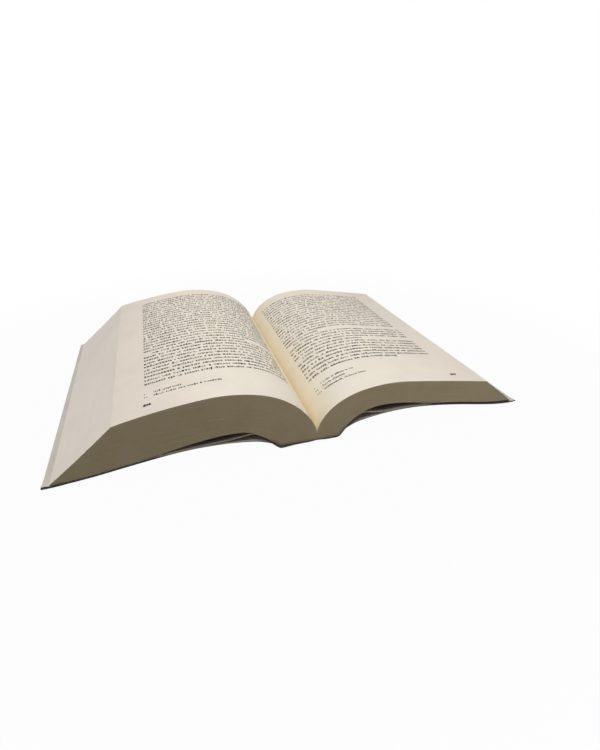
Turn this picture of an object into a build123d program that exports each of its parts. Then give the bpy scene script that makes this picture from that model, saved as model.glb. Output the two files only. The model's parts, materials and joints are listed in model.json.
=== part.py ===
from build123d import *
import os
from math import asin, atan2, cos, degrees, hypot, radians, sin, tan

# A paperback book lying open on its spine, with its head towards +Y and its tail towards -Y.
# The origin is the middle of the spine's outer face. Lengths are millimetres, angles degrees.

# Leaves, card and glue
leaf_height = 200.0            # tail to head
leaf_width = 136.8             # spine to fore-edge, along the bent leaf
cover_thickness = 0.45
glue_thickness = 0.35
end_leaf_thickness = 0.3       # the first and last leaf, which sag away from the stack
spine_width = 38.4             # outside of the cover, corner to corner
gutter_offset = 4.5            # the opening is past the middle of the stack
gutter_depth = 6.4             # lowest point of the opening above the table
hinge_slit = 0.2               # crease between a cover and the strip glued to the stack

# Strips of the cover glued up the sides of the stack, which flare as the book lies open
left_strip = 7.0
left_flare_angle = 40.0
left_corner_radius = 1.2
right_strip = 7.0
right_flare_angle = 53.0
right_corner_radius = 4.0

# Covers: lengths along the card from the hinge, turns over each length and the foot
left_cover_bend = 12.0
left_cover_arch = 56.0
left_cover_fall = 28.0
left_cover_turns = (-15.8, -14.9, -1.3, 9.4)
left_cover_edge_height = 0.0   # the outer edge lies on the table
left_cover_clearance = 0.45
right_cover_bend = 11.5
right_cover_arch = 48.0
right_cover_fall = 36.0
right_cover_turns = (-20.7, -17.5, -4.6, 11.5)
right_cover_edge_height = 4.9  # the outer edge stands clear of the table
right_cover_clearance = 1.2

# Bent leaves slip on each other: how far an outer edge stands out past the leaf width
left_page_slip = 0.7
left_end_leaf_slip = -3.5
left_cover_slip = -1.0
right_end_leaf_slip = -1.9
right_cover_slip = -1.5

# Open pages: heading out of the gutter, lengths along the leaf and the turn over each
left_page_heading = 77.1
left_page_climb = 12.0
left_page_shoulder = 16.0
left_page_crown = 20.0
left_page_slope = 32.0
left_page_turns = (-20.8, -19.1, -22.0, -20.5, -9.0)
right_page_heading = 79.0
right_page_climb = 10.0
right_page_shoulder = 14.0
right_page_crown = 18.0
right_page_slope = 30.0
right_page_turns = (-22.6, -24.7, -20.4, -18.8, -2.2)

# Underside of the stack: the root above the glue, the end leaf's fold, and the arch above it
left_root = 11.5
left_root_turn = -9.0
left_fold = 3.0
left_fold_turn = -38.0
left_arch_start = 11.5         # reach of the arch's curve at the root
left_arch_end = 16.0           # reach of the arch's curve where it meets the end leaf
right_root = 12.9
right_root_turn = -26.0
right_fold = 2.5
right_fold_turn = -21.0
right_arch_start = 13.0
right_arch_end = 19.0
arch_opening_turn = 6.0        # angle between the end leaf and the arch at both ends of the gap


# A line of straight runs and tangent arcs, drawn outwards from the spine and raised by a lift.
# Raising the line keeps every arc about its own centre, so two lifts give an even thickness.
class BentLine:
    def __init__(self, start, heading, lift=0.0):
        self.heading = heading
        self.lift = lift
        self.end = Vector(*start) + self.normal() * lift
        self.edges = []

    def direction(self):
        return Vector(cos(radians(self.heading)), sin(radians(self.heading)))

    def normal(self):
        return Vector(-sin(radians(self.heading)), cos(radians(self.heading)))

    def add(self, edge, heading):
        self.edges.append(edge)
        self.end = edge @ 1
        self.heading = heading
        return self

    def run(self, length, turn=0.0):
        raised = length - self.lift * radians(turn)
        if turn == 0.0:
            return self.add(Line(self.end, self.end + self.direction() * raised), self.heading)
        radius = abs(raised / radians(turn))
        return self.add(JernArc(self.end, self.direction(), radius, turn), self.heading + turn)

    def follow(self, bends):
        for length, turn in bends:
            self.run(length, turn)
        return self

    def land(self, point, heading):
        arrival = Vector(cos(radians(heading)), sin(radians(heading)))
        edge = Spline([self.end, point], tangents=[self.direction(), arrival])
        return self.add(edge, heading)

    def length(self, first=0):
        return sum(edge.length for edge in self.edges[first:])


def bends(lengths, turns, whole):
    lengths = [*lengths, whole - sum(lengths)]
    return list(zip(lengths, turns))


# The cover's spine and one glued strip, from the middle of the spine outwards
def strip_line(side, lift):
    setback = side["corner_radius"] * tan(radians(side["flare_angle"] / 2))
    line = BentLine((0, 0), 0.0, lift)
    line.run(spine_width / 2 - setback)
    line.run(side["corner_radius"] * radians(side["flare_angle"]), side["flare_angle"])
    line.run(side["strip"] - setback)
    return line


# One cover from its hinge, turned so that its outer edge has its stated height
def cover_line(side, lift, count=None):
    hinge = strip_line(side, 0.0).end
    level = BentLine((0, 0), 0.0).follow(side["cover_bends"]).end
    fall = degrees(asin((side["edge_height"] - hinge.Y) / hypot(level.X, level.Y)))
    heading = fall - degrees(atan2(level.Y, level.X))
    line = BentLine((hinge.X, hinge.Y), heading, lift)
    return line.follow(side["cover_bends"][:count])


# The end leaf: up the glued side, over its fold, free down to the cover and along it.
# The first edge is the spine's, which is no part of the leaf's width.
def end_leaf_line(side, lift):
    glued = cover_thickness + glue_thickness
    resting = cover_thickness + side["clearance"]
    line = strip_line(side, glued + lift)
    line.run(side["root"], side["root_turn"])
    line.run(side["fold"], side["fold_turn"])
    landing = cover_line(side, resting + lift, 2)
    line.land(landing.end, landing.heading)
    line.lift = resting + lift
    fall, fall_turn = side["cover_bends"][2]
    foot, foot_turn = side["cover_bends"][3]
    line.run(fall, fall_turn)
    rest = leaf_width + side["end_leaf_slip"] - line.length(1)
    return line.run(rest, foot_turn * rest / foot)


def page_line(side):
    gutter = (side["gutter_offset"], gutter_depth)
    return BentLine(gutter, side["page_heading"]).follow(side["page_bends"])


# The gap between the end leaf and the arched underside of the stack
def arch_gap(side):
    leaf = end_leaf_line(side, end_leaf_thickness)
    fold, free = leaf.edges[4], leaf.edges[5]
    root = fold @ 0
    tip = free @ 1
    rise = (fold % 0).rotate(Axis.Z, arch_opening_turn)
    drop = (free % 1).rotate(Axis.Z, -arch_opening_turn)
    arch = Bezier(root, root + rise * side["arch_start"], tip - drop * side["arch_end"], tip)
    return make_face([fold, free, arch])


def stack_edges(side):
    page = page_line(side)
    leaf = end_leaf_line(side, 0.0)
    fore_edge = Line(page.end, leaf.end)
    return [*page.edges, fore_edge, *leaf.edges]


def sheet(lower, upper):
    inner = Line(lower.edges[0] @ 0, upper.edges[0] @ 0)
    outer = Line(lower.end, upper.end)
    return make_face([*lower.edges, *upper.edges, inner, outer])


def across(face):
    return Pos(0, leaf_height / 2, 0) * extrude(Plane.XZ * face, amount=leaf_height)


def mirrored(edges):
    return [mirror(edge, about=Plane.YZ) for edge in edges]


def text_block():
    outline = make_face([*stack_edges(right), *mirrored(stack_edges(left))])
    gaps = arch_gap(right) + mirror(arch_gap(left), about=Plane.YZ)
    return across(outline - gaps)


def channel(low, high):
    right_half = sheet(strip_line(right, low), strip_line(right, high))
    left_half = sheet(strip_line(left, low), strip_line(left, high))
    return across(right_half + mirror(left_half, about=Plane.YZ))


def cover(side):
    hinge = strip_line(side, 0.0).end
    whole = sheet(cover_line(side, 0.0), cover_line(side, cover_thickness))
    slit = Pos(hinge.X, hinge.Y) * Circle(hinge_slit)
    return whole - slit


left = dict(
    strip=left_strip,
    flare_angle=left_flare_angle,
    corner_radius=left_corner_radius,
    edge_height=left_cover_edge_height,
    clearance=left_cover_clearance,
    cover_bends=bends(
        (left_cover_bend, left_cover_arch, left_cover_fall),
        left_cover_turns,
        leaf_width - left_strip + left_cover_slip,
    ),
    gutter_offset=-gutter_offset,
    page_heading=left_page_heading,
    page_bends=bends(
        (left_page_climb, left_page_shoulder, left_page_crown, left_page_slope),
        left_page_turns,
        leaf_width - (gutter_depth - cover_thickness - glue_thickness) + left_page_slip,
    ),
    end_leaf_slip=left_end_leaf_slip,
    root=left_root,
    root_turn=left_root_turn,
    fold=left_fold,
    fold_turn=left_fold_turn,
    arch_start=left_arch_start,
    arch_end=left_arch_end,
)
right = dict(
    strip=right_strip,
    flare_angle=right_flare_angle,
    corner_radius=right_corner_radius,
    edge_height=right_cover_edge_height,
    clearance=right_cover_clearance,
    cover_bends=bends(
        (right_cover_bend, right_cover_arch, right_cover_fall),
        right_cover_turns,
        leaf_width - right_strip + right_cover_slip,
    ),
    gutter_offset=gutter_offset,
    page_heading=right_page_heading,
    page_bends=bends(
        (right_page_climb, right_page_shoulder, right_page_crown, right_page_slope),
        right_page_turns,
        leaf_width - (gutter_depth - cover_thickness - glue_thickness),
    ),
    end_leaf_slip=right_end_leaf_slip,
    root=right_root,
    root_turn=right_root_turn,
    fold=right_fold,
    fold_turn=right_fold_turn,
    arch_start=right_arch_start,
    arch_end=right_arch_end,
)

nodes = {
    "text_block": text_block(),
    "binding_glue": channel(cover_thickness, cover_thickness + glue_thickness),
    "cover_spine": channel(0.0, cover_thickness),
    "front_cover": across(mirror(cover(left), about=Plane.YZ)),
    "back_cover": across(cover(right)),
}

os.makedirs("parts", exist_ok=True)
for name, solid in nodes.items():
    export_step(solid, f"parts/{name}.step")

for name, side, sign in (("front", left, -1), ("back", right, 1)):
    hinge = strip_line(side, 0.0).end
    print(f"{name} cover hinge at x {sign * hinge.X:.3f}, z {hinge.Y:.3f}")
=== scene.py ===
import json
import math
import random

import bpy
import numpy as np
from mathutils import Euler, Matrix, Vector, noise


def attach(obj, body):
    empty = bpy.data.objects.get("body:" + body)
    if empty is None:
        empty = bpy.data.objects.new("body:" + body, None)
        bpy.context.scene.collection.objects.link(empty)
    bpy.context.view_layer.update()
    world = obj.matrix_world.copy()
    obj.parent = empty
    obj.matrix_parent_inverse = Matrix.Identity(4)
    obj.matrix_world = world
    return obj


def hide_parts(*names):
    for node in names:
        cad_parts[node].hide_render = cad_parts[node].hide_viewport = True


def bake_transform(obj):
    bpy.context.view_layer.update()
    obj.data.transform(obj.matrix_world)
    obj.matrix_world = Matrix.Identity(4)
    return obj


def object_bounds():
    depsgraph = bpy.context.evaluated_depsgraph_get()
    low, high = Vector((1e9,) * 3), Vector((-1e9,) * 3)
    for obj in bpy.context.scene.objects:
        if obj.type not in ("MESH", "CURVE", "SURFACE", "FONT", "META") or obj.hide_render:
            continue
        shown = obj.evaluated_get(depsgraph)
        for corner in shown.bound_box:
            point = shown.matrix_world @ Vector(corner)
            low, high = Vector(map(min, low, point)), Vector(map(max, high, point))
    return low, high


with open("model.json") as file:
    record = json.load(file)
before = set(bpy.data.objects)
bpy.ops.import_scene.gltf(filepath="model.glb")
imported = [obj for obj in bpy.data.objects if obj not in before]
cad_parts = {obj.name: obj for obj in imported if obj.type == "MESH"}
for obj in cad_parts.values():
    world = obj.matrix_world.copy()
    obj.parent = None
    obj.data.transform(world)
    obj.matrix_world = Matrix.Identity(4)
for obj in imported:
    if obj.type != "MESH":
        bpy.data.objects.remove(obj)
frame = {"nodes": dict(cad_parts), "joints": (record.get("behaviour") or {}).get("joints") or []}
cadLow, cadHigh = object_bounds()
mm = 0.001
print("frame loaded:", ", ".join(sorted(frame["nodes"])))


# Small helpers

tiny = 1e-9                    # keeps divisions and signs clear of zero
white = (1.0, 1.0, 1.0, 1.0)
sharpAngle = 30                # degrees: edges that turn more than this stay sharp


def linear(hexColour):
    values = [int(hexColour[i:i + 2], 16) / 255 for i in (1, 3, 5)]
    curve = [v / 12.92 if v <= 0.04045 else ((v + 0.055) / 1.055) ** 2.4 for v in values]
    return (*curve, 1.0)


# Adds a node. An input is a number, a colour, an output to link, or a node, which stands
# for its first output.
def addNode(material, kind, inputs=None, **settings):
    tree = material.node_tree
    node = tree.nodes.new("ShaderNode" + kind)
    for name, value in settings.items():
        setattr(node, name, value)
    for name, value in (inputs or {}).items():
        if isinstance(value, bpy.types.Node):
            value = value.outputs[0]
        if isinstance(value, bpy.types.NodeSocket):
            tree.links.new(value, node.inputs[name])
        else:
            node.inputs[name].default_value = value
    return node


def newMaterial(name):
    material = bpy.data.materials.new(name)
    material.use_nodes = True
    material.node_tree.nodes.clear()
    return material


def newPiece(name, vertices, faces, materials, faceMaterials=None, attributes=None):
    mesh = bpy.data.meshes.new(name)
    mesh.from_pydata([tuple(v) for v in vertices], [], [tuple(f) for f in faces])
    for material in materials:
        mesh.materials.append(material)
    if faceMaterials is not None:
        mesh.polygons.foreach_set("material_index", np.asarray(faceMaterials, np.int32))
    for key, values in (attributes or {}).items():
        layer = mesh.attributes.new(key, "FLOAT", "POINT")
        layer.data.foreach_set("value", np.asarray(values, np.float32))
    mesh.shade_smooth()
    mesh.set_sharp_from_angle(angle=math.radians(sharpAngle))
    mesh.update()
    piece = bpy.data.objects.new(name, mesh)
    bpy.context.scene.collection.objects.link(piece)
    return piece


# The skin of a block whose vertices are numbered by row, column and step: down, out from the
# spine, and from tail to head. place gives a vertex its point, each side names its material,
# and the sign is that of the half, as a mirrored block has its faces turned.
def blockSkin(rows, columns, steps, place, sideMaterials, sign):
    index = {}
    faces = []
    kinds = []

    def side(kind, first, second, at, flip):
        for a in range(first):
            for b in range(second):
                keys = (at(a, b), at(a + 1, b), at(a + 1, b + 1), at(a, b + 1))
                quad = [index.setdefault(key, len(index)) for key in keys]
                faces.append(quad[::-1] if flip != (sign > 0) else quad)
                kinds.append(sideMaterials[kind])

    side("tail", rows, columns, lambda a, b: (a, b, 0), False)
    side("head", rows, columns, lambda a, b: (a, b, steps), True)
    side("top", columns, steps, lambda a, b: (0, a, b), False)
    side("bottom", columns, steps, lambda a, b: (rows, a, b), True)
    side("root", rows, steps, lambda a, b: (a, 0, b), True)
    side("fore", rows, steps, lambda a, b: (a, columns, b), False)
    return [place(*key) for key in index], faces, kinds, list(index)


# A share from 0 to 1, given soft ends
def eased(share):
    return share * share * (3 - 2 * share)


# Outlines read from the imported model

reading = {
    "grain": 1e-7,             # metres: corners that are nearer than this are one
    "tailFace": 1e-6,          # metres: corners this near the lowest y lie in the tail face
    "level": 0.01 * mm,        # the stack's flat bottom is level to within this
    "cornerTurn": 20,          # degrees: a sharper turn than this is a corner of the stack
    "corners": {"cover_spine": 4, "front_cover": 5, "back_cover": 5},  # of each thin section
    "step": 0.5 * mm,          # spacing of the points put back on the arcs
    "endLeafThickness": 0.3 * mm,      # as it is modelled
}


# Closed outlines of a node's tail face as (x, z) points, the longest first
def tailOutlines(nodeName):
    mesh = frame["nodes"][nodeName].data
    lowest = min(v.co.y for v in mesh.vertices)
    grain = reading["grain"]
    uses = {}
    for polygon in mesh.polygons:
        corners = [mesh.vertices[i].co for i in polygon.vertices]
        if all(abs(c.y - lowest) < reading["tailFace"] for c in corners):
            keys = [(round(c.x / grain), round(c.z / grain)) for c in corners]
            for pair in zip(keys, keys[1:] + keys[:1]):
                edge = tuple(sorted(pair))
                uses[edge] = uses.get(edge, 0) + 1
    nextTo = {}
    for a, b in (edge for edge, count in uses.items() if count == 1):
        nextTo.setdefault(a, []).append(b)
        nextTo.setdefault(b, []).append(a)
    outlines = []
    seen = set()
    for start in nextTo:
        chain = []
        point = start
        while point is not None and point not in seen:
            seen.add(point)
            chain.append(point)
            point = next((p for p in nextTo[point] if p not in seen), None)
        if chain:
            outlines.append(np.array(chain) * grain)
    return sorted(outlines, key=len, reverse=True)


# Turn of a closed outline at each of its points, in degrees
def turnsOf(outline):
    before = outline - np.roll(outline, 1, axis=0)
    after = np.roll(outline, -1, axis=0) - outline
    cross = before[:, 0] * after[:, 1] - before[:, 1] * after[:, 0]
    dot = (before * after).sum(axis=1)
    return np.degrees(np.arctan2(cross, dot))


# The stretch of a closed outline from one of its points to another, the way that it is numbered
def stretch(outline, start, end):
    count = (end - start) % len(outline)
    return np.array([outline[(start + i) % len(outline)] for i in range(count + 1)])


# The outline's chords lie on arcs, so this puts points back on those arcs, about a step apart.
# A chord's end leans by half the arc's turn, and the turn at a point is shared by its neighbours.
def onArcs(points):
    chords = np.diff(points, axis=0)
    headings = np.unwrap(np.arctan2(chords[:, 1], chords[:, 0]))
    turns = np.diff(headings)
    padded = np.abs(np.concatenate([turns[:1], turns, turns[-1:]]))
    share = padded[:-2] / (padded[:-2] + padded[2:] + tiny)
    tangents = np.concatenate([
        [headings[0] - turns[0] / 2],
        headings[:-1] + turns * share,
        [headings[-1] + turns[-1] / 2],
    ])
    fine = [points[0]]
    for i, length in enumerate(np.linalg.norm(chords, axis=1)):
        leave, arrive = (length * np.array([math.cos(a), math.sin(a)]) for a in tangents[i:i + 2])
        count = max(1, math.ceil(length / reading["step"]))
        for t in (k / count for k in range(1, count + 1)):
            fine.append(
                (2 * t ** 3 - 3 * t ** 2 + 1) * points[i]
                + (t ** 3 - 2 * t ** 2 + t) * leave
                + (3 * t ** 2 - 2 * t ** 3) * points[i + 1]
                + (t ** 3 - t ** 2) * arrive
            )
    fine = np.array(fine)
    fine[:, 1] = np.maximum(fine[:, 1], points[:, 1].min())
    return fine


def lengthsAlong(points):
    return np.concatenate([[0.0], np.cumsum(np.linalg.norm(np.diff(points, axis=0), axis=1))])


def endDirection(points):
    last = points[-1] - points[-2]
    return last / np.linalg.norm(last)


# Points at the given distances along a line, which runs straight on past its end
def pointsAt(points, distances):
    along = lengthsAlong(points)
    onLine = np.stack([np.interp(distances, along, points[:, i]) for i in (0, 1)], axis=-1)
    return onLine + np.multiply.outer(np.maximum(0, distances - along[-1]), endDirection(points))


# A line of evenly spaced points, so that lines of one leaf width can be mixed point by point
def evenly(points, count):
    return pointsAt(points, np.linspace(0, lengthsAlong(points)[-1], count + 1))


# Unit normals that point up, away from the table
def upNormals(points):
    along = np.gradient(points, axis=0)
    normals = np.stack([-along[:, 1], along[:, 0]], axis=-1)
    normals /= np.linalg.norm(normals, axis=1)[:, None]
    return normals * np.sign(along[:, :1] + tiny)


# The lines of one half of the stack, each from the spine outwards:
# page, its open page; under, the lower face of its end leaf; arch, the stack's own underside
def readHalf(sign):
    outline, *gaps = tailOutlines("text_block")
    turns = turnsOf(outline)
    corners = [i for i in range(len(outline)) if abs(turns[i]) > reading["cornerTurn"]]
    gutter = max(corners, key=lambda i: abs(turns[i]) * (np.sign(turns[i]) != np.sign(turns.sum())))
    if sign * (outline[(gutter + 1) % len(outline)][0] - outline[gutter][0]) < 0:
        outline = outline[::-1]
        corners = [len(outline) - 1 - i for i in corners]
        gutter = len(outline) - 1 - gutter
    ordered = sorted(corners, key=lambda i: (i - gutter) % len(outline))
    foreTop, foreBottom = ordered[1], ordered[2]
    bottom = stretch(outline, foreBottom, ordered[3])
    level = bottom[:, 1].min()
    flat = [i for i, p in enumerate(bottom) if p[1] < level + reading["level"]]
    page = onArcs(stretch(outline, gutter, foreTop))
    root = np.array([[page[0][0], level]])
    under = onArcs(bottom[flat[0]::-1])
    raised = under + upNormals(under) * reading["endLeafThickness"]
    gap = next(g for g in gaps if sign * g[:, 0].mean() > 0)
    gapTurns = turnsOf(gap)
    tips = sorted(range(len(gap)), key=lambda i: -abs(gapTurns[i]))[:2]
    tips.sort(key=lambda i: sign * gap[i][0])
    sides = [stretch(gap, tips[0], tips[1]), stretch(gap, tips[1], tips[0])[::-1]]
    vault = onArcs(max(sides, key=lambda s: s[:, 1].mean()))
    first, last = (int(np.argmin(np.linalg.norm(raised - gap[i], axis=1))) for i in tips)
    return {
        "sign": sign,
        "name": "Left" if sign < 0 else "Right",
        "page": np.concatenate([root, page]),
        "rootHeight": page[0][1] - level,
        "under": under,
        "arch": np.concatenate([raised[:first], vault, raised[last + 1:]]),
        "gap": (lengthsAlong(under)[first], lengthsAlong(under)[last]),
    }


# The lower and upper line of a thin node's section, each from the spine outwards
def faceLines(nodeName, sign):
    outline = tailOutlines(nodeName)[0]
    turns = turnsOf(outline)
    sharpest = sorted(range(len(outline)), key=lambda i: -abs(turns[i]))
    corners = sorted(sharpest[:reading["corners"][nodeName]])
    chains = [stretch(outline, a, b) for a, b in zip(corners, corners[1:] + corners[:1])]
    longest = sorted(chains, key=lambda c: -lengthsAlong(c)[-1])[:2]
    lines = []
    for chain in sorted(longest, key=lambda c: c[:, 1].mean()):
        lines.append(onArcs(chain if sign * (chain[-1][0] - chain[0][0]) > 0 else chain[::-1]))
    return lines


# How far along its lower face the end leaf is glued, which ends at the cover's hinge
def gluedLength(half):
    hinge = next(j["pos_m"] for j in frame["joints"] if half["sign"] * j["pos_m"][0] > 0)
    apart = np.linalg.norm(half["under"] - (hinge[0], hinge[2]), axis=1)
    return lengthsAlong(half["under"])[int(np.argmin(apart))]


halves = {"Left": readHalf(-1), "Right": readHalf(1)}
for joint in frame["joints"]:
    half = halves["Left" if joint["pos_m"][0] < 0 else "Right"]
    half["cardTop"] = faceLines(f"{joint['child']}_cover", half["sign"])[1]
tailY, headY = cadLow.y, cadHigh.y
leafHeight = headY - tailY
for name, half in halves.items():
    widths = [lengthsAlong(half[line])[-1] / mm for line in ("page", "under", "arch")]
    print(f"{name} leaf width along its page, end leaf and arch: {[round(float(w), 2) for w in widths]} mm")


# Paper

leafThickness = 0.1 * mm

pageLook = {
    "paper": "#EDE4D5",        # open page, away from the gutter
    "outerPaper": "#E8DDD0",   # towards the fore-edge
    "gutterPaper": "#EDE0C3",  # deep in the gutter: yellowed paper with the glow of the facing pages painted in
    "gutterTint": (5 * mm, 34 * mm),   # full tint up to here along the leaf, and none beyond here
    "outerTint": (70 * mm, 130 * mm),
    "cloud": 18 * mm,          # uneven sheet formation
    "cloudShades": (0.965, 1.02),
    "fibre": 0.35 * mm,        # pulp fibres are finer, drawn at this width so that they show
    "fibreShades": (0.975, 1.015),
    "gapShade": "#33291A",         # painted shade where a leaf hangs in a gap under the stack
    "gapShadeMost": 0.85,
}
edgeLook = {
    "paper": "#D8C7A4",        # cut faces at tail and head: toned, and darker still by painted shade
    "shade": "#CDBC99",        # lines of leaves that stand back
    "leavesPerLine": 4,        # one leaf is too fine to show, so each line stands for this many
    "lineLength": 60 * mm,
    "lineRoughness": 0.65,
    "lineRange": (0.35, 0.68, 0.75),   # noise from here to here brings up to this much shade
    "soilAndShade": "#C9B588",
    "patch": 14 * mm,
    "patchRange": (0.45, 0.75, 0.45),
    "grit": 0.5 * mm,
    "gritShades": (0.95, 1.04),
    "lighterAcross": (-60 * mm, 100 * mm),   # painted light: it grows from here to here across the book, so the edge gets lighter by this factor
    "lighterBy": 1.28,           # so the edge gets lighter by this factor
    "paintedShade": "#4A4033",        # painted shade where the leaves meet the glue
    "paintedShadeMost": 0.5,
    "paintedShadeReach": 1.9 * mm,
    "gluePoints": (120, 60),   # along the spine and up its strip, to measure the reach from
    "seamShade": (1.0 * mm, 16 * mm),       # height and length of the painted shade in the seam where the gap closes,
    "seamShadeLead": 0.1,           # which starts this share of its length before that
}
foreLook = {
    "paper": "#E4DBD1",        # the fore-edge, with the same keys
    "shade": "#DBD2C7",
    "leavesPerLine": 4,
    "lineLength": 120 * mm,
    "lineRoughness": 0.6,
    "lineRange": (0.4, 0.7, 0.35),
    "patch": 25 * mm,
    "patchShades": (0.98, 1.015),
}


noiseSpan = (0.3, 0.7)         # nearly all of a noise texture lies in here


# Unevenness with blotches of a real size: the pattern, and the shade that it multiplies by
def mottle(m, size, shades, detail, roughness):
    pattern = addNode(m, "TexNoise", {
        "Vector": addNode(m, "TexCoord").outputs["Object"],
        "Scale": 1 / size, "Detail": detail, "Roughness": roughness,
    })
    shade = addNode(m, "MapRange", {
        "Value": pattern, "From Min": noiseSpan[0], "From Max": noiseSpan[1],
        "To Min": shades[0], "To Max": shades[1],
    })
    return pattern, shade


# Cut leaf ends in two tones, as fine lines that follow the leaves: the pattern and the colour
def leafLines(m, look, along):
    depth = addNode(m, "Attribute", attribute_name="leafDepth").outputs["Fac"]
    lineWidth = leafThickness * look["leavesPerLine"]
    lines = addNode(m, "TexNoise", {
        "Vector": addNode(m, "CombineXYZ", {
            "X": addNode(m, "Math", {0: depth, 1: lineWidth}, operation="DIVIDE"),
            "Y": addNode(m, "Math", {0: along, 1: look["lineLength"]}, operation="DIVIDE"),
        }),
        "Scale": 1.0, "Detail": 4.0, "Roughness": look["lineRoughness"],
    })
    low, high, most = look["lineRange"]
    share = addNode(m, "MapRange", {"Value": lines, "From Min": low, "From Max": high, "To Max": most})
    return lines, addNode(m, "MixRGB", {
        "Fac": share, "Color1": linear(look["paper"]), "Color2": linear(look["shade"]),
    })


# The end of most materials: a relief of some depth, the surface and the output
def finished(m, colour, relief, strength, depth, roughness, ior, specular):
    bump = addNode(m, "Bump", {"Strength": strength, "Distance": depth, "Height": relief})
    shader = addNode(m, "BsdfPrincipled", {
        "Base Color": colour, "Roughness": roughness, "IOR": ior,
        "Specular IOR Level": specular, "Normal": bump,
    })
    addNode(m, "OutputMaterial", {"Surface": shader})
    return m


# Uncoated book paper, machine finished: matt, cream, with faint clouds and fibres.
# It yellows towards the gutter, where the glow of the two facing pages is painted in too,
# and a leaf that hangs in a gap carries painted shade.
def bookPaper():
    m = newMaterial("uncoatedBookPaper")
    spine = addNode(m, "Attribute", attribute_name="fromSpine").outputs["Fac"]
    gutter = addNode(m, "MapRange", {
        "Value": spine, "From Min": pageLook["gutterTint"][0], "From Max": pageLook["gutterTint"][1],
        "To Min": 1.0, "To Max": 0.0,
    }, interpolation_type="SMOOTHSTEP")
    outer = addNode(m, "MapRange", {
        "Value": spine, "From Min": pageLook["outerTint"][0], "From Max": pageLook["outerTint"][1],
    }, interpolation_type="SMOOTHSTEP")
    toned = addNode(m, "MixRGB", {
        "Fac": outer, "Color1": linear(pageLook["paper"]), "Color2": linear(pageLook["outerPaper"]),
    })
    aged = addNode(m, "MixRGB", {
        "Fac": gutter, "Color1": toned, "Color2": linear(pageLook["gutterPaper"]),
    })
    cloudShade = mottle(m, pageLook["cloud"], pageLook["cloudShades"], detail=3, roughness=0.55)[1]
    fibres, fibreShade = mottle(
        m, pageLook["fibre"], pageLook["fibreShades"], detail=2, roughness=0.6,
    )
    shade = addNode(m, "Math", {0: cloudShade, 1: fibreShade}, operation="MULTIPLY")
    colour = addNode(m, "MixRGB", {"Fac": 1.0, "Color1": aged, "Color2": shade}, blend_type="MULTIPLY")
    # Painted shade on a leaf that hangs in a gap under the stack
    gapShaded = addNode(m, "Attribute", attribute_name="gapShaded").outputs["Fac"]
    gapShadedColour = addNode(m, "MixRGB", {
        "Fac": addNode(m, "Math", {0: gapShaded, 1: pageLook["gapShadeMost"]}, operation="MULTIPLY"),
        "Color1": colour, "Color2": linear(pageLook["gapShade"]),
    })
    return finished(
        m, gapShadedColour, relief=fibres, strength=0.12, depth=0.05 * mm,
        roughness=0.88, ior=1.48, specular=0.35,
    )


# Guillotined paper at tail and head: hundreds of leaf ends, matt, darker than a page from toning and
# painted shade, with fine lines that follow the leaves, a little soil, painted light across the book and
# painted shade by the glue
def trimmedPaper():
    m = newMaterial("guillotinedPaperEdge")
    place = addNode(m, "TexCoord").outputs["Object"]
    spine = addNode(m, "Attribute", attribute_name="fromSpine").outputs["Fac"]
    lines, leaves = leafLines(m, edgeLook, spine)
    patches = addNode(m, "TexNoise", {
        "Vector": place, "Scale": 1 / edgeLook["patch"], "Detail": 3.0, "Roughness": 0.6,
    })
    low, high, most = edgeLook["patchRange"]
    soilShare = addNode(m, "MapRange", {
        "Value": patches, "From Min": low, "From Max": high, "To Max": most,
    })
    soiledAndShaded = addNode(m, "MixRGB", {
        "Fac": soilShare, "Color1": leaves, "Color2": linear(edgeLook["soilAndShade"]),
    })
    gritShade = mottle(m, edgeLook["grit"], edgeLook["gritShades"], detail=2, roughness=0.7)[1]
    # Painted light: the cut edge gets lighter across the book towards the right
    side = addNode(m, "MapRange", {
        "Value": addNode(m, "SeparateXYZ", {"Vector": place}),
        "From Min": edgeLook["lighterAcross"][0], "From Max": edgeLook["lighterAcross"][1],
        "To Min": 1.0, "To Max": edgeLook["lighterBy"],
    })
    shade = addNode(m, "Math", {0: gritShade, 1: side}, operation="MULTIPLY")
    colour = addNode(m, "MixRGB", {"Fac": 1.0, "Color1": soiledAndShaded, "Color2": shade}, blend_type="MULTIPLY")
    # Painted shade beside the glue and in the seam where the gap closes
    paintedShadeShare = addNode(m, "MapRange", {
        "Value": addNode(m, "Attribute", attribute_name="paintedShading").outputs["Fac"],
        "To Max": edgeLook["paintedShadeMost"],
    })
    paintedShading = addNode(m, "MixRGB", {
        "Fac": paintedShadeShare, "Color1": colour, "Color2": linear(edgeLook["paintedShade"]),
    })
    return finished(
        m, paintedShading, relief=lines, strength=0.25, depth=0.15 * mm,
        roughness=0.95, ior=1.48, specular=0.2,
    )


# The fore-edge fans out as the book lies open, so slivers of page face show between
# the cut ends: lighter than the tail, with fine lines that run from tail to head
def fannedPaper():
    m = newMaterial("fannedForeEdge")
    place = addNode(m, "TexCoord").outputs["Object"]
    height = addNode(m, "SeparateXYZ", {"Vector": place}).outputs["Y"]
    lines, leaves = leafLines(m, foreLook, height)
    patchShade = mottle(m, foreLook["patch"], foreLook["patchShades"], detail=3, roughness=0.5)[1]
    colour = addNode(m, "MixRGB", {
        "Fac": 1.0, "Color1": leaves, "Color2": patchShade,
    }, blend_type="MULTIPLY")
    return finished(
        m, colour, relief=lines, strength=0.12, depth=0.1 * mm,
        roughness=0.92, ior=1.48, specular=0.25,
    )


paper = bookPaper()
trimmed = trimmedPaper()
fanned = fannedPaper()
print("paper materials made")


# Page stacks: bundles of leaves, each with cut ends of its own

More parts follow.
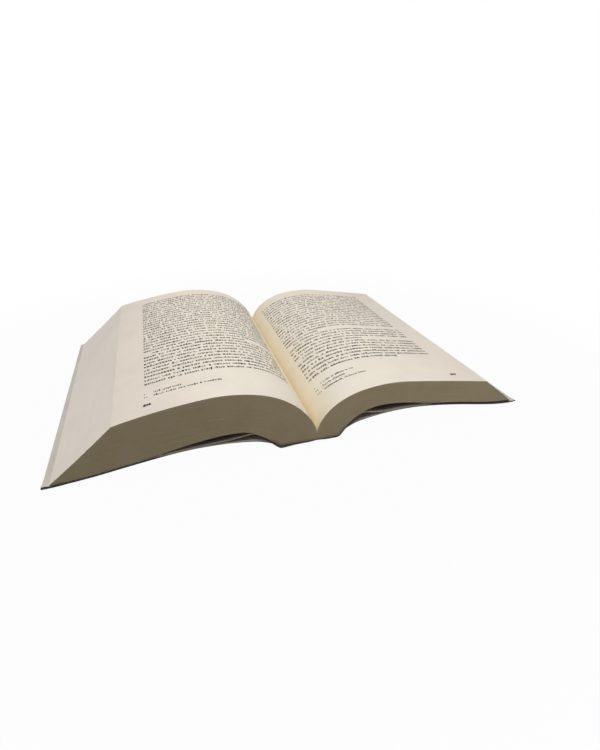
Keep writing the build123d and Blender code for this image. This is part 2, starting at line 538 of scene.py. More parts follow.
stack = {
    "columns": 110,            # along the leaf
    "steps": 48,               # from tail to head
    "fineness": 4,             # points to a column on the lines that are mixed
    "bundle": (0.12 * mm, 0.42 * mm),  # thinnest and thickest bundle, at the fore-edge
    "tailStep": 0.05 * mm,     # how far a bundle's end may stand back
    "foreStep": 0.05 * mm,
    # How far the fore-edge stands out past a flat slant, at these shares of the way down it
    "bowShares": (0, 1 / 3, 2 / 3, 1),
    "foreBow": {"Left": (0, -0.2 * mm, 0, 0.75 * mm), "Right": (0, 0, 0, -0.7 * mm)},
    "cockle": 0.22 * mm,       # rise of the open page's waves
    "cockleLift": 0.35,        # share of that by which the whole page stands up
    "cockleLength": 60 * mm,
    "cockleFade": 40 * mm,     # the waves die out over this much at the spine
    "cockleApart": 5.0,        # how far apart in the noise the two pages lie, so they differ
    "seed": 7,
}
pageSides = {"top": 0, "bottom": 0, "root": 1, "tail": 1, "head": 1, "fore": 2}


# Rise of the open page above its true line: slow waves that die out at the spine
def cockle(half, fromSpine, y):
    length = stack["cockleLength"]
    wave = noise.noise(Vector((fromSpine / length, y / length, stack["cockleApart"] * half["sign"])))
    grown = min(1.0, fromSpine / stack["cockleFade"])
    return stack["cockle"] * (wave + stack["cockleLift"]) * grown


# How the leaves lie at the head, where they differ a little from the tail
headEnd = {
    "along": (0.0, 7 * mm, 40 * mm, 90 * mm, 136 * mm),    # places along the leaf, from the spine
    "rise": {                  # how much higher the open page lies there
        "Left": (0.0, 0.6 * mm, 1.3 * mm, 1.4 * mm, 1.2 * mm),
        "Right": (0.0, 0.6 * mm, 0.1 * mm, -0.4 * mm, -1.0 * mm),
    },
    "reach": {                 # how much further the open page and the end leaf reach
        "Left": (0.3 * mm, 1.2 * mm),
        "Right": (0.3 * mm, 0.0),
    },
    "reachPower": 3,           # gathers the reach towards the fore-edge
}


# Rise and reach of a leaf past its place at the tail, where depth 0 is the open page and
# depth 1 the end leaf
def headShift(half, fromSpine, y, depth=0.0):
    share = eased(min(1.0, max(0.0, (y - tailY) / leafHeight)))
    rise = np.interp(fromSpine, headEnd["along"], headEnd["rise"][half["name"]]) * (1 - depth)
    page, end = headEnd["reach"][half["name"]]
    outwards = (fromSpine / half["pageAlong"][-1]) ** headEnd["reachPower"]
    return share * rise, share * (page * (1 - depth) + end * depth) * outwards


# A point moved square to its leaf and along it, away from the spine
def moved(half, point, normal, rise, reach):
    x = point[0] + normal[0] * rise + half["sign"] * normal[1] * reach
    z = point[1] + normal[1] * rise - half["sign"] * normal[0] * reach
    return x, z


# A point of the open page, at a distance along the leaf from the spine
def pagePoint(half, fromSpine, y, lift=0.0):
    index = np.interp(fromSpine, half["pageAlong"], np.arange(len(half["page"])))
    low = min(int(index), len(half["page"]) - 2)
    share = index - low
    point = half["page"][low] * (1 - share) + half["page"][low + 1] * share
    normal = half["pageNormals"][low] * (1 - share) + half["pageNormals"][low + 1] * share
    rise, reach = headShift(half, fromSpine, y)
    x, z = moved(half, point, normal, rise + cockle(half, fromSpine, y) + lift, reach)
    return Vector((x, y, z))


def bundleShares(total, draw):
    depths = [0.0, leafThickness]
    while depths[-1] < total - stack["bundle"][1]:
        depths.append(depths[-1] + draw.uniform(*stack["bundle"]))
    depths.append(total)
    return [d / total for d in depths]


# The top and bottom line of each bundle, with their share of the depth, their tail and their head
def bundleRows(half, page, arch, shares, draw):
    rows = []
    for upperShare, lowerShare in zip(shares, shares[1:]):
        upper = page * (1 - upperShare) + arch * upperShare
        lower = page * (1 - lowerShare) + arch * lowerShare
        bow = np.interp(upperShare, stack["bowShares"], stack["foreBow"][half["name"]])
        jog = bow + draw.uniform(-stack["foreStep"], 0)
        tail = tailY + draw.uniform(0, stack["tailStep"])
        head = headY - draw.uniform(0, stack["tailStep"])
        tread = max(0.0, float((lower[-1] - upper[-1]) @ endDirection(lower)))
        for line, share, back in ((upper, upperShare, 0.0), (lower, lowerShare, tread)):
            distances = np.linspace(0, lengthsAlong(line)[-1] + jog - back, stack["columns"] + 1)
            rows.append({"points": pointsAt(line, distances), "share": share, "tail": tail, "head": head})
    return rows


# Painted shade on the cut ends, from 0 to 1: beside the glue, and in the seam past the end of the gap
def paintedShadeOn(half, rows, archLength, thickness):
    spinePoints, stripPoints = edgeLook["gluePoints"]
    strip = pointsAt(half["under"], np.linspace(0, gluedLength(half), stripPoints))
    glued = np.concatenate([np.linspace(half["page"][0], strip[0], spinePoints), strip])
    height, reach = edgeLook["seamShade"]
    pastGap = (np.linspace(0, archLength, stack["columns"] + 1) - half["gap"][1]) / reach
    seamShade = np.where(pastGap > -edgeLook["seamShadeLead"], np.clip(1 - pastGap, 0, 1), 0)
    paintedShade = []
    for row in rows:
        apart = np.linalg.norm(row["points"][:, None, :] - glued, axis=2).min(axis=1)
        inSeamShade = seamShade * max(0, 1 - (1 - row["share"]) * thickness / height)
        paintedShade.append(np.maximum(1 - apart / edgeLook["paintedShadeReach"], inSeamShade))
    return paintedShade


def pageStack(name, half):
    draw = random.Random(stack["seed"] + half["sign"])
    columns, steps = stack["columns"], stack["steps"]
    half["pageAlong"] = lengthsAlong(half["page"])
    half["pageNormals"] = upNormals(half["page"])
    page = evenly(half["page"], stack["fineness"] * columns)
    arch = evenly(half["arch"], stack["fineness"] * columns)
    # The stack is thinner across its leaves than along its slanted fore-edge
    leafEnd = endDirection(page)
    slant = arch[-1] - page[-1]
    thickness = abs(leafEnd[0] * slant[1] - leafEnd[1] * slant[0])
    shares = bundleShares(thickness, draw)
    rows = bundleRows(half, page, arch, shares, draw)
    paintedShade = paintedShadeOn(half, rows, lengthsAlong(arch)[-1], thickness)
    width = lengthsAlong(page)[-1]
    normals = upNormals(page)[::stack["fineness"]]

    def place(r, c, s):
        row = rows[r]
        y = row["tail"] + (row["head"] - row["tail"]) * s / steps
        if r == 0:
            return pagePoint(half, width * c / columns, y)
        rise, reach = headShift(half, width * c / columns, y, row["share"])
        x, z = moved(half, row["points"][c], normals[c], rise, reach)
        return Vector((x, y, z))

    points, faces, kinds, keys = blockSkin(len(rows) - 1, columns, steps, place, pageSides, half["sign"])
    attributes = {
        "fromSpine": [width * c / columns for r, c, s in keys],
        "leafDepth": [rows[r]["share"] * thickness for r, c, s in keys],
        "paintedShading": [max(0.0, paintedShade[r][c]) for r, c, s in keys],
    }
    piece = newPiece(name, points, faces, [paper, trimmed, fanned], kinds, attributes)
    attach(piece, "block")
    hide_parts("text_block")
    print(f"{name}: {len(shares) - 1} bundles, {thickness / mm:.1f} mm thick")


for name, half in halves.items():
    pageStack(f"pages{name}", half)


# First and last leaves, which sag between the stack and the covers

endLeaf = {
    "thickness": 0.16 * mm,
    "lifts": (0.0, 0.18 * mm),     # two leaves on each side
    "spread": (0.0, 0.15 * mm),    # the upper one hangs a little less in the gap
    "tailBack": (0.05 * mm, 0.2 * mm),     # how far each stands back at tail and head,
    "foreBack": (0.0, 0.3 * mm),   # and at the fore-edge
    "settled": {"Left": 0.7, "Right": 0.42},   # share of the gap after which they lie on the cover,
    "leaving": 0.15,               # and the last share of it, where they leave the cover again
    "overCard": 0.3 * mm,          # left free above the cover,
    "underArch": 0.4 * mm,         # and below the stack
    "droop": (25 * mm, 95 * mm),   # a leaf hangs free this near the tail and head, and this far in
    "closed": 0.88,                # it lies up against the stack, with this share of the gap closed
    "gapShadeFrom": 5 * mm,            # their painted shade is lighter at their tail and head ends
    "endGapShade": {"Left": 0.62, "Right": 0.4},
    "toneFrom": 25 * mm,           # they have the tone of a page this much further out
}
leafSides = {**pageSides, "fore": 1}
softEnds = 12                      # how steeply a zone's share comes up


# 1 at distances that lie inside a zone, and 0 outside it, with soft ends
def zoneShare(zone, distances):
    share = np.clip((distances - zone[0]) / (zone[1] - zone[0]), 0, 1)
    return np.clip(softEnds * share * (1 - share), 0, 1)


def endLeafPiece(name, half, lift, spread, tailBack, foreBack):
    columns, steps = stack["columns"], stack["steps"]
    total = lengthsAlong(half["under"])[-1] + max(0.0, stack["foreBow"][half["name"]][-1])
    distances = np.linspace(0, total - foreBack, columns + 1)
    lower = pointsAt(half["under"], distances)
    normals = upNormals(lower)
    start, end = half["gap"]
    across = np.clip((distances - start) / (end - start), 0, 1)
    rise = lift + spread * np.sin(np.pi * across) ** 2
    cardTop = half["cardTop"][np.argsort(half["cardTop"][:, 0])]
    clear = lower[:, 1] - np.interp(lower[:, 0], cardTop[:, 0], cardTop[:, 1]) - endLeaf["overCard"]
    settled = np.clip(across / endLeaf["settled"][half["name"]], 0, 1)
    leaving = np.clip((1 - across) / endLeaf["leaving"], 0, 1)
    drop = np.maximum(0, clear) * eased(settled * leaving)
    lower = lower + normals * rise[:, None] - np.outer(drop, (0.0, 1.0))
    toArch = np.linalg.norm(lower[:, None, :] - half["arch"][None, :, :], axis=2).min(axis=1)
    inside = (across > 0) & (across < 1)
    room = np.maximum(0, toArch - endLeaf["underArch"]) * endLeaf["closed"] * inside
    free, lying = endLeaf["droop"]

    def place(r, c, s):
        y = tailY + tailBack + (leafHeight - 2 * tailBack) * s / steps
        inward = (min(y - tailY, headY - y) - free) / (lying - free)
        height = room[c] * eased(min(1.0, max(0.0, inward))) + (1 - r) * endLeaf["thickness"]
        reach = headShift(half, distances[c], y, 1.0)[1]
        x, z = moved(half, lower[c], normals[c], height, reach)
        return Vector((x, y, z))

    points, faces, kinds, keys = blockSkin(1, columns, steps, place, leafSides, half["sign"])
    inGap = zoneShare(half["gap"], distances)
    # Painted shade on the end leaf's cut ends beside the glue
    paintedShade = np.clip((gluedLength(half) - distances) / mm, 0, 1)
    # Painted shade in the gap, lighter towards the tail and head ends
    fromEnd = np.minimum(np.arange(steps + 1), steps - np.arange(steps + 1)) * leafHeight / steps
    gapShadeShare = np.interp(fromEnd, (0, endLeaf["gapShadeFrom"]), (endLeaf["endGapShade"][half["name"]], 1))
    attributes = {
        "gapShaded": [inGap[c] * gapShadeShare[s] for r, c, s in keys],
        "paintedShading": [paintedShade[c] for r, c, s in keys],
        "fromSpine": [distances[c] + endLeaf["toneFrom"] for r, c, s in keys],
        "leafDepth": [r * endLeaf["thickness"] for r, c, s in keys],
    }
    piece = newPiece(name, points, faces, [paper, trimmed], kinds, attributes)
    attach(piece, "block")
    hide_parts("text_block")


for name, half in halves.items():
    for number, facts in enumerate(zip(
        endLeaf["lifts"], endLeaf["spread"], endLeaf["tailBack"], endLeaf["foreBack"],
    )):
        endLeafPiece(f"endLeaf{name}{number + 1}", half, *facts)
print("end leaves made")


# Print: rows of upright ticks in the place of letters, which spell nothing

printing = {
    "ink": "#15120F",
    "thinInk": "#3A342E",
    "speckle": 0.6 * mm,
    "rise": 0.035 * mm,        # a film of ink, drawn thick enough to stand clear of the page
    "sink": 0.05 * mm,
    "xHeight": 2.0 * mm,
    "capHeight": 2.7 * mm,
    "drop": 0.65 * mm,         # how far a letter hangs below the line
    "lineChance": 0.15,        # of a line that starts with a capital
    "tallChance": 0.05,        # of a letter as tall as one
    "dropChance": 0.06,        # of a letter that hangs below the line
    "wordLengths": (1, 2, 2, 3, 4, 5, 5, 6, 7, 8, 9, 11),
    "advance": 1.74 * mm,      # one letter of plain width
    "widths": (0.62, 1, 1, 1, 1.3),        # a letter's share of that
    "ticks": {0.62: 1, 1: 2, 1.3: 3},      # upright strokes in a letter of each width
    "tick": 0.54 * mm,
    "letterWeights": (0.6, 1.45),          # the ticks are thicker or thinner, from letter to letter
    "tickWeights": (0.8, 1.2),             # and within a letter
    "tickHeights": (1.0, 1.0, 0.95, 0.75, 0.6),
    "between": 0.55 * mm,      # clear paper from letter to letter
    "space": 1.35 * mm,
    "indent": 6 * mm,
    "noteScale": 0.78,
    "noteTick": (1.3 * mm, 0.4 * mm, 1.4 * mm),    # from tick to tick, foot and top above the line
    "folioSize": 2.8 * mm,
    "folioBold": 0.1,          # the digits' outline grows by this share of their size
    "folioSmooth": 3,
    "seed": 41,
}
# Millimetres from the head and from the page's left edge. A positive slant puts a line's left
# end down by so much, and the strokes' weight goes from the first line's to the last one's.
layouts = {
    "Left": {
        "firstLine": 14.8, "pitch": 4.78, "lines": 32, "column": (18.6, 114.2),
        "slant": 3.1, "indented": (22,), "ends": {21: 89.4},
        "notes": ((175.2, 23.9, 40.4), (179.0, 23.9, 63.9)),
        "noteMark": 18.5, "folio": "516", "folioPlace": (18.0, 188.7), "weight": (1.0, 1.15),
    },
    "Right": {
        "firstLine": 16.4, "pitch": 4.78, "lines": 31, "column": (15.2, 112.4),
        "slant": -0.5, "indented": (19, 24), "ends": {18: 44.0, 23: 71.0, 30: 84.0},
        "notes": ((171.3, 21.4, 45.4), (175.2, 21.4, 38.4), (179.2, 21.4, 51.4)),
        "noteMark": 15.9, "folio": "517", "folioPlace": (108.6, 190.8), "weight": (0.85, 1.1),
    },
}


# Offset-printed black ink on uncoated paper: soaked in, so a warm dark grey with no gloss
def pressInk():
    m = newMaterial("offsetBlackInk")
    speckle = addNode(m, "TexNoise", {
        "Vector": addNode(m, "TexCoord").outputs["Object"],
        "Scale": 1 / printing["speckle"], "Detail": 2.0,
    })
    share = addNode(m, "MapRange", {
        "Value": speckle, "From Min": 0.4, "From Max": 0.75, "To Max": 0.35,
    })
    colour = addNode(m, "MixRGB", {
        "Fac": share, "Color1": linear(printing["ink"]), "Color2": linear(printing["thinInk"]),
    })
    shader = addNode(m, "BsdfPrincipled", {
        "Base Color": colour, "Roughness": 0.8, "IOR": 1.5, "Specular IOR Level": 0.3,
    })
    addNode(m, "OutputMaterial", {"Surface": shader})
    return m


# Marks of one line as (left, right, foot, top), in metres on the flat page
def lineOfMarks(draw, left, right, baseline, scale, capital, weight=1.0):
    plain = printing["advance"] * scale
    words = []
    width = 0.0
    while width < right - left:
        count = draw.choice(printing["wordLengths"])
        letters = [draw.choice(printing["widths"]) for i in range(count)]
        words.append(letters)
        width += sum(plain * letter for letter in letters) + printing["space"] * scale
    width -= printing["space"] * scale
    squeeze = (right - left) / width
    marks = []
    x = left
    for number, letters in enumerate(words):
        for place, letter in enumerate(letters):
            step = plain * letter * squeeze
            ticks = printing["ticks"][letter]
            height = printing["xHeight"] * scale
            if capital and number == 0 and place == 0 or draw.random() < printing["tallChance"]:
                height = printing["capHeight"] * scale
            drop = printing["drop"] * scale if draw.random() < printing["dropChance"] else 0.0
            tick = printing["tick"] * scale * squeeze * weight * draw.uniform(*printing["letterWeights"])
            apart = (step - printing["between"] * scale - tick) / max(1, ticks - 1)
            for i in range(ticks):
                top = baseline + draw.choice(printing["tickHeights"]) * height
                start = x + printing["between"] * scale / 2 + i * apart
                end = start + tick * draw.uniform(*printing["tickWeights"])
                marks.append((start, end, baseline - drop * (i == 0), top))
            x += step
        x += printing["space"] * scale * squeeze
    return marks


# All marks of a page: its lines, then its notes, each with its number shown as so many ticks
def pageOfMarks(draw, layout):
    left, right = (c * mm for c in layout["column"])
    marks = []
    for i in range(layout["lines"]):
        indent = printing["indent"] if i in layout["indented"] else 0.0
        end = layout["ends"][i] * mm if i in layout["ends"] else right
        middle = headY - (layout["firstLine"] + layout["pitch"] * i) * mm
        baseline = middle - printing["xHeight"] / 2
        weight = np.interp(i, (0, layout["lines"] - 1), layout["weight"])
        capital = indent > 0 or draw.random() < printing["lineChance"]
        marks += lineOfMarks(draw, left + indent, end, baseline, 1.0, capital, weight)
    apart, foot, top = printing["noteTick"]
    for number, (fromHead, start, end) in enumerate(layout["notes"]):
        scale = printing["noteScale"]
        baseline = headY - fromHead * mm - printing["xHeight"] * scale / 2
        marks += lineOfMarks(draw, start * mm, end * mm, baseline, scale, True)
        for k in range(number + 1):
            mark = layout["noteMark"] * mm + apart * k
            marks.append((mark, mark + printing["tick"], baseline + foot, baseline + top))
    return marks


# Vertices and faces of a page number, flat on its back
def folioMesh(text):
    curve = bpy.data.curves.new("folio", "FONT")
    curve.body = text
    curve.size = printing["folioSize"]
    curve.offset = printing["folioSize"] * printing["folioBold"]
    curve.extrude = printing["rise"]
    curve.resolution_u = printing["folioSmooth"]
    holder = bpy.data.objects.new("folio", curve)
    bpy.context.scene.collection.objects.link(holder)
    bpy.context.view_layer.update()
    graph = bpy.context.evaluated_depsgraph_get()
    mesh = bpy.data.meshes.new_from_object(holder.evaluated_get(graph))
    bpy.data.objects.remove(holder)
    return [v.co.copy() for v in mesh.vertices], [tuple(p.vertices) for p in mesh.polygons]


def printPiece(name, half, layout, ink):
    draw = random.Random(printing["seed"] + half["sign"])
    visible = half["pageAlong"][-1] - half["rootHeight"]
    left, right = (c * mm for c in layout["column"])

    def onPage(u, v, lift):
        v -= layout["slant"] * mm * (0.5 - (u - left) / (right - left))
        fromGutter = u if half["sign"] > 0 else visible - u
        return pagePoint(half, half["rootHeight"] + fromGutter, v, lift)

    marks = pageOfMarks(draw, layout)
    vertices = []
    faces = []
    for u0, u1, v0, v1 in marks:
        first = len(vertices)
        for lift in (-printing["sink"], printing["rise"]):
            vertices += [onPage(u, v, lift) for u, v in ((u0, v0), (u1, v0), (u1, v1), (u0, v1))]
        for quad in ((3, 2, 1, 0), (4, 5, 6, 7), (0, 1, 5, 4), (1, 2, 6, 5), (2, 3, 7, 6), (3, 0, 4, 7)):
            faces.append(tuple(first + i for i in quad))
    digits, digitFaces = folioMesh(layout["folio"])
    folioLeft, folioFoot = layout["folioPlace"][0] * mm, headY - layout["folioPlace"][1] * mm
    first = len(vertices)
    vertices += [onPage(folioLeft + d.x, folioFoot + d.y, d.z) for d in digits]
    faces += [tuple(first + i for i in face) for face in digitFaces]
    piece = newPiece(name, vertices, faces, [ink])
    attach(piece, "block")
    print(f"{name}: {len(marks)} marks")


ink = pressInk()
for name, half in halves.items():
    printPiece(f"print{name}", half, layouts[name], ink)


# Cover: one creased card, from the middle of the spine round each hinge to its outer edge

card = {
    "outside": "#24272A",
    "outsideWorn": "#7C7E7A",
    "core": "#C6C2B8",
    "inside": "#D3CEC5",
    "scuff": 3 * mm,
    "cloud": 30 * mm,
    "cloudShades": (0.9, 1.08),
    "fibre": 0.45 * mm,        # pulp fibres are finer, drawn at this width so that they show
    "wear": (0.5 * mm, 0.12),  # how far and how much the edges are rubbed pale
    "film": 0.97,              # share of the thickness that the dark skin takes at a cut edge
    "bareFilm": 0.5,           # in the bare zone, from the spine's corner out, more of the core shows
    "bare": {"Left": (18.4 * mm, 77.4 * mm), "Right": (21.2 * mm, 70.5 * mm)},
    "soiledAndShaded": "#2E2820",       # inside: painted shade where it stands out past the leaves at the tail, with glue stain near the spine
    "soilAndShadeAt": np.array((27, 36, 45, 82, 95)) * mm,   # places along the card from mid spine,
    "soilAndShade": (0.86, 0.3, 0, 0, 0.9),    # and how much of that it has there
    "soilAndShadeReach": 3 * mm,
    "rim": 2.5 * mm,           # width of the rims, where points lie closer, at these shares of it
    "rimShares": (0.06, 0.16, 0.34, 0.6, 1.0, 1.6),
    "steps": 60,               # from tail to head
    "columns": 120,            # from the middle of the spine to the outer edge
    "crease": (2.2 * mm, 23),  # closer points this near the hinge, and how many
    "creaseRoom": 0.4 * mm,    # clear of other points beside them
    "creaseHalf": 0.9 * mm,    # a span each side of the hinge, whose end points are worked out but not used
    "swelling": 0.2 * mm,      # a handled card is thicker out here than where it is glued,
    "swellingAt": (2 * mm, 6 * mm),    # from here past the hinge, in full after so much more
    "bevel": 0.07 * mm,
    "bevelAngle": 60,          # degrees: edges that turn more than this are bevelled
    "taper": {"Left": 0.0, "Right": 3.3 * mm},         # how much narrower the cover lies at the head
    "taperPower": 1.5,
    "stepIn": {"Left": 0.4 * mm, "Right": 1.4 * mm},   # its edge draws in this much next to the tail
    "stepLength": 6 * mm,
    "drawnPower": 4,           # gathers both towards the outer edge
    "cornerLength": {"Left": 8 * mm, "Right": 25 * mm},    # the tail corners are crushed and swollen
    "cornerRise": {"Left": 1.0 * mm, "Right": 0.0},
    "cornerSag": {"Left": 0.0, "Right": 0.45 * mm},
    "cornerThin": 0.25,        # share of that which is left at the rim
    "cornerSpread": {"Left": 1.3 * mm, "Right": 0.0},      # past the tail at its outer face,
    "innerSpread": 0.15,       # and this share of it at its inner face
    "cornerFade": 12 * mm,
    "roundOff": 1.5 * mm,      # the head corners are rubbed round
    "roundLength": 4 * mm,
    # How far the tail stands out past the leaves, at places along the card from mid spine
    "overhangAt": np.array((0, 5, 10, 17, 23, 27, 36, 48, 72, 93, 133, 145, 156)) * mm,
    "overhang": {
        "Left": np.array((0, 0.1, 0.3, 1.3, 1.5, 1.1, 0.45, 0, 0, 0.45, 0.4, 0.65, 0.1)) * mm,
        "Right": np.array((0, -0.75, 0, 0, 0, 0, 0, 0, 0, 0.1, 0.3, 0.35, 0.2)) * mm,
    },
}


# Solid bleached board, printed dark and matt laminated outside, bare and pale grey inside.
# Its cut edge shows the pale core under a thin dark skin, and the skin rubs pale at the rims.
def coverBoard():
    m = newMaterial("mattLaminatedCoverBoard")
    place = addNode(m, "TexCoord").outputs["Object"]
    rim, depth, bare, soilAndShade = (
        addNode(m, "Attribute", attribute_name=name).outputs["Fac"]
        for name in ("fromRim", "cardDepth", "bare", "soiledAndShaded")
    )
    scuffs = addNode(m, "TexNoise", {
        "Vector": place, "Scale": 1 / card["scuff"], "Detail": 5.0, "Roughness": 0.65,
    })
    fibres = addNode(m, "TexNoise", {
        "Vector": place, "Scale": 1 / card["fibre"], "Detail": 2.0, "Roughness": 0.6,
    })
    cloudShade = mottle(m, card["cloud"], card["cloudShades"], detail=3, roughness=0.5)[1]
    reach, most = card["wear"]
    rubbed = addNode(m, "MapRange", {
        "Value": rim, "From Min": 0.0, "From Max": reach, "To Min": most, "To Max": 0.0,
    })
    skin = addNode(m, "MixRGB", {
        "Fac": addNode(m, "Math", {0: rubbed, 1: scuffs}, operation="MULTIPLY", use_clamp=True),
        "Color1": linear(card["outside"]), "Color2": linear(card["outsideWorn"]),
    })
    pulp = addNode(m, "MixRGB", {
        "Fac": fibres, "Color1": linear(card["core"]), "Color2": linear(card["inside"]),
    })
    # Painted shade inside, where the card stands out past the leaves at the tail, partly glue stain near
    # the spine
    soiledAndShaded = addNode(m, "MixRGB", {"Fac": soilAndShade, "Color1": pulp, "Color2": linear(card["soiledAndShaded"])})
    skinShaded, pulpShaded = (
        addNode(m, "MixRGB", {"Fac": 1.0, "Color1": tone, "Color2": cloudShade}, blend_type="MULTIPLY")
        for tone in (skin, soiledAndShaded)
    )
    film = addNode(m, "MapRange", {"Value": bare, "To Min": card["film"], "To Max": card["bareFilm"]})
    throughSkin = addNode(m, "Math", {0: depth, 1: film}, operation="GREATER_THAN")
    colour = addNode(m, "MixRGB", {"Fac": throughSkin, "Color1": skinShaded, "Color2": pulpShaded})
    roughness = addNode(m, "MapRange", {"Value": throughSkin, "To Min": 0.55, "To Max": 0.85})
    return finished(
        m, colour, relief=fibres, strength=0.15, depth=0.05 * mm,
        roughness=roughness, ior=1.5, specular=0.2,
    )


# The card's lower and upper face at the tail, from the middle of the spine outwards
def cardLines(node, sign):
    lines = []
    for spineLine, coverLine in zip(faceLines("cover_spine", sign), faceLines(node, sign)):
        inner = spineLine[sign * spineLine[:, 0] >= 0]
        lines.append(np.concatenate([[[0.0, inner[0][1]]], inner, coverLine[1:]]))
    return lines


# Places from tail to head, closer at both rims
def rimPlaces(total, steps):
    near = np.array((0.0, *card["rimShares"][:-1])) * card["rim"]
    between = steps + 1 - 2 * len(near)
    inner = np.linspace(near[-1], total - near[-1], between + 2)[1:-1]
    return np.concatenate([near, inner, total - near[::-1]])


# Places along the card, closer at the crease and at the outer rim
def cardPlaces(total, hinge):
    reach, count = card["crease"]
    spread = np.linspace(0, total, card["columns"])
    clear = spread[np.abs(spread - hinge) > reach + card["creaseRoom"]]
    near = hinge + np.linspace(-reach, reach, count)
    rim = total - np.array(card["rimShares"]) * card["rim"]
    return np.unique(np.concatenate([clear, near, rim]))


def coverPiece(name, node, sign, hinge):
    half = halves["Left" if sign < 0 else "Right"]
    side = half["name"]
    lines = cardLines(node, sign)
    along = lengthsAlong(lines[0])
    total = along[-1]
    hingeAlong = along[int(np.argmin(np.linalg.norm(lines[0] - hinge, axis=1)))]
    distances = cardPlaces(total, hingeAlong)
    ys = rimPlaces(leafHeight, card["steps"])
    lower = pointsAt(lines[0], distances)
    upper = pointsAt(lines[1], distances * lengthsAlong(lines[1])[-1] / total)
    start, reach = card["swellingAt"]
    swelling = card["swelling"] * np.clip((distances - hingeAlong - start) / reach, 0, 1)
    upper = upper + upNormals(upper) * swelling[:, None]
    normals = upNormals(lower)

    # What happens at the corners, along the card
    fromEdge = total - distances
    cornerLength = card["cornerLength"][side]
    corner = np.clip(1 - fromEdge / cornerLength, 0, 1)
    thinned = np.clip(fromEdge / card["rim"], card["cornerThin"], 1)
    raised = (
        card["cornerRise"][side] * corner ** 2 * thinned,
        -card["cornerSag"][side] * corner * (2 - corner) * thinned,
    )
    spread = card["cornerSpread"][side] * eased(np.clip(1 - fromEdge / (2 * cornerLength), 0, 1))
    overhang = np.interp(distances, card["overhangAt"], card["overhang"][side])
    out = (spread * card["innerSpread"] + overhang, spread + overhang)
    rounded = card["roundOff"] * (1 - np.clip(fromEdge / card["roundLength"], 0, 1)) ** 2

    def place(r, c, s):
        x, z = (upper, lower)[r][c]
        step = min(1.0, ys[s] / card["stepLength"])
        taper = card["taper"][side] * (ys[s] / leafHeight) ** card["taperPower"]
        drawnIn = taper + card["stepIn"][side] * step * (2 - step)
        x -= sign * drawnIn * (distances[c] / total) ** card["drawnPower"]
        fade = math.exp(-ys[s] / card["cornerFade"])
        headFade = math.exp((ys[s] - leafHeight) / card["roundLength"])
        y = tailY + ys[s] - out[r][c] * fade - rounded[c] * headFade
        rise = raised[r][c] * fade
        return Vector((x + normals[c][0] * rise, y, max(0.0, z + normals[c][1] * rise)))

    coverSides = dict.fromkeys(pageSides, 0)
    points, faces, kinds, keys = blockSkin(1, len(distances) - 1, len(ys) - 1, place, coverSides, sign)
    bare = zoneShare(card["bare"][side], distances)
    # Painted shade on the inside where the card stands out past the leaves at the tail
    leafEnd = abs(half["under"][-1][0]) + max(0.0, stack["foreBow"][side][-1])
    soilAndShade = np.clip((leafEnd - np.abs(lower[:, 0])) / mm, 0, 1)
    soilAndShade *= np.interp(distances, card["soilAndShadeAt"], card["soilAndShade"])
    soiledAndShaded = soilAndShade[:, None] * np.clip(1 - (ys - overhang[:, None]) / card["soilAndShadeReach"], 0, 1)
    attributes = {
        "bare": [bare[c] for r, c, s in keys],
        "cardDepth": [1.0 - r for r, c, s in keys],
        "soiledAndShaded": [soiledAndShaded[c][s] for r, c, s in keys],
        "fromRim": [min(ys[s], leafHeight - ys[s], fromEdge[c]) for r, c, s in keys],
    }
    piece = newPiece(name, points, faces, [board], kinds, attributes)
    bevel = piece.modifiers.new("crushed rim", "BEVEL")
    bevel.width = card["bevel"]
    bevel.segments = 2
    bevel.limit_method = "ANGLE"
    bevel.angle_limit = math.radians(card["bevelAngle"])
    before = pointsAt(lines[0], hingeAlong - card["creaseHalf"])
    after = pointsAt(lines[0], hingeAlong + card["creaseHalf"])
    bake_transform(piece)
    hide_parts(node, "cover_spine")
    print(f"{name}: {total / mm:.1f} mm of card from the middle of the spine")


board = coverBoard()
for joint in frame["joints"]:
    body = joint["child"]
    hinge = np.array(joint["pos_m"])[[0, 2]]
    sign = -1 if hinge[0] < 0 else 1
    coverPiece(f"coverCard{body.title()}", f"{body}_cover", sign, hinge)


# Binding glue

glueLook = {
    "glue": "#B3A27A",
    "deep": "#8F7D55",
    "blob": 2.5 * mm,
    "paintedShade": "#2E2920",        # painted shade on its cut ends at tail and head
}


# Hot-melt spine glue, spread and squeezed by the cover: smooth, yellowish and half clear
def hotMelt():
    m = newMaterial("hotMeltSpineGlue")
    blobs = addNode(m, "TexNoise", {
        "Vector": addNode(m, "TexCoord").outputs["Object"],
        "Scale": 1 / glueLook["blob"], "Detail": 3.0,
    })
    colour = addNode(m, "MixRGB", {
        "Fac": blobs, "Color1": linear(glueLook["glue"]), "Color2": linear(glueLook["deep"]),
    })
    # Painted shade on the faces that look to the tail and head
    normal = addNode(m, "NewGeometry").outputs["True Normal"]
    facing = addNode(m, "SeparateXYZ", {"Vector": normal}).outputs["Y"]
    paintedShading = addNode(m, "MixRGB", {
        "Fac": addNode(m, "Math", {0: facing}, operation="ABSOLUTE"),
        "Color1": colour, "Color2": linear(glueLook["paintedShade"]),
    })
    return finished(
        m, paintedShading, relief=blobs, strength=0.3, depth=0.1 * mm,
        roughness=0.42, ior=1.48, specular=0.25,
    )


glue = frame["nodes"]["binding_glue"]
glue.data.materials.clear()
glue.data.materials.append(hotMelt())
print("glue finished")


# Floor, light and camera

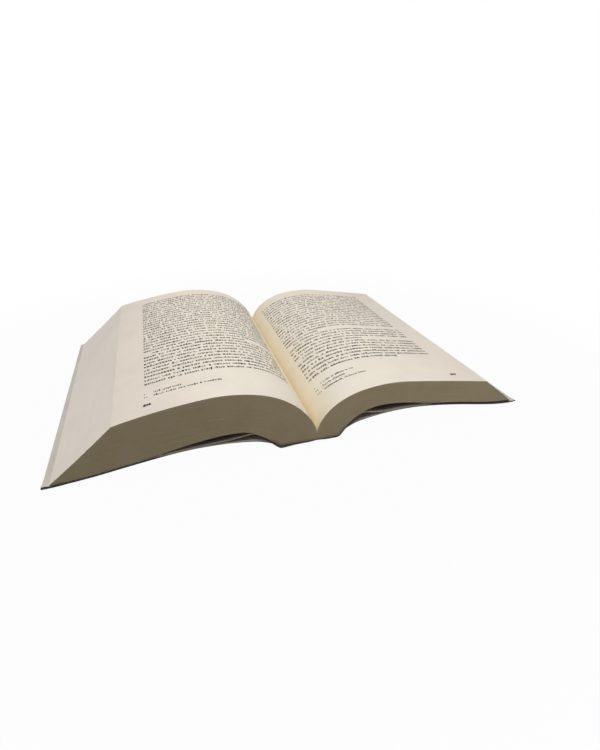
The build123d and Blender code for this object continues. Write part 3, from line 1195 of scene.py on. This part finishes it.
studio = {
    "floor": "#707070",        # what the book sees of it
    "floorSize": 6.0,
    "shadow": (0.15, 0.4),     # the floor shows its shadow up to here, and is white beyond here
    "shadowMost": 0.03,        # so much of the paint shows through the white
    "keyStrength": 3.1,        # watts of the lamp overhead
    "keySize": 0.5,
    "keyPlace": (0.03, -0.12, 0.62),
    "keyTarget": (0.03, -0.12, 0),
    "fillStrength": 0.32,      # a weak lamp behind at the left, for the deep end of the gutter
    "fillSize": 0.4,
    "fillPlace": (-0.22, 0.34, 0.42),
    "fillTarget": (0.02, 0.08, 0.02),
    "sky": 0.18,
}


# 1 for what the camera sees, mirrored or through glass too, and 0 for light on the book
def seenOnly(m):
    rays = addNode(m, "LightPath").outputs
    seen = addNode(m, "Math", {0: rays["Is Camera Ray"], 1: rays["Is Glossy Ray"]}, operation="MAXIMUM")
    return addNode(m, "Math", {0: seen, 1: rays["Is Transmission Ray"]}, operation="MAXIMUM")


# Painted board, matt: white to the camera, with the book's shadow left in it
def floorPaint():
    m = newMaterial("mattPaintedFloor")
    paint = addNode(m, "BsdfDiffuse", {"Color": linear(studio["floor"])})
    glow = addNode(m, "Emission", {"Color": white, "Strength": 1.0})
    far = addNode(m, "VectorMath", {0: addNode(m, "TexCoord").outputs["Object"]}, operation="LENGTH")
    fade = addNode(m, "MapRange", {
        "Value": far.outputs["Value"],
        "From Min": studio["shadow"][0], "From Max": studio["shadow"][1],
        "To Min": 1 - studio["shadowMost"], "To Max": 1.0,
    }, interpolation_type="SMOOTHSTEP")
    share = addNode(m, "Math", {0: fade, 1: seenOnly(m)}, operation="MULTIPLY")
    addNode(m, "OutputMaterial", {"Surface": addNode(m, "MixShader", {0: share, 1: paint, 2: glow})})
    return m


def makeFloor():
    half = studio["floorSize"] / 2
    corners = [(-half, -half, 0), (half, -half, 0), (half, half, 0), (-half, half, 0)]
    floor = newPiece("floor", corners, [(0, 1, 2, 3)], [floorPaint()])
    floor.location = (0, 0, cadLow.z)


def makeLamp(name, kind):
    lamp = bpy.data.lights.new(name, "AREA")
    lamp.shape = "SQUARE"
    lamp.size = studio[kind + "Size"]
    lamp.energy = studio[kind + "Strength"]
    holder = bpy.data.objects.new(name, lamp)
    holder.location = studio[kind + "Place"]
    aim = Vector(studio[kind + "Target"]) - Vector(studio[kind + "Place"])
    holder.rotation_euler = aim.to_track_quat("-Z", "Y").to_euler()
    bpy.context.scene.collection.objects.link(holder)


def makeLights():
    makeLamp("overheadSoftbox", "key")
    makeLamp("backFill", "fill")
    world = bpy.data.worlds.new("studio")
    world.use_nodes = True
    world.node_tree.nodes.clear()
    strength = addNode(world, "MapRange", {
        "Value": seenOnly(world), "To Min": studio["sky"], "To Max": 1.0,
    })
    sky = addNode(world, "Background", {"Color": white, "Strength": strength})
    addNode(world, "OutputWorld", {"Surface": sky})
    bpy.context.scene.world = world


# Fitted to the photograph's 600 by 750 frame
view = {
    "place": (-0.07589, -0.33036, 0.17198),    # from the middle of the spine
    "turn": 16.72,             # degrees right of straight ahead
    "down": 27.316,
    "roll": 0.18,
    "lens": 22.74,
    "sensor": 36.0,
    "clipStart": 0.01,
}


def makeCamera():
    camera = bpy.data.cameras.new("camera")
    camera.lens = view["lens"]
    camera.sensor_width = view["sensor"]
    camera.clip_start = view["clipStart"]
    holder = bpy.data.objects.new("camera", camera)
    holder.location = view["place"]
    tilt = Euler((math.radians(90 - view["down"]), 0.0, math.radians(-view["turn"])), "XYZ")
    roll = Euler((0.0, 0.0, math.radians(view["roll"])), "XYZ")
    holder.rotation_euler = (tilt.to_matrix() @ roll.to_matrix()).to_euler()
    bpy.context.scene.collection.objects.link(holder)
    bpy.context.scene.camera = holder


makeFloor()
makeLights()
makeCamera()
bpy.context.scene.view_settings.view_transform = "Standard"
print("studio ready")
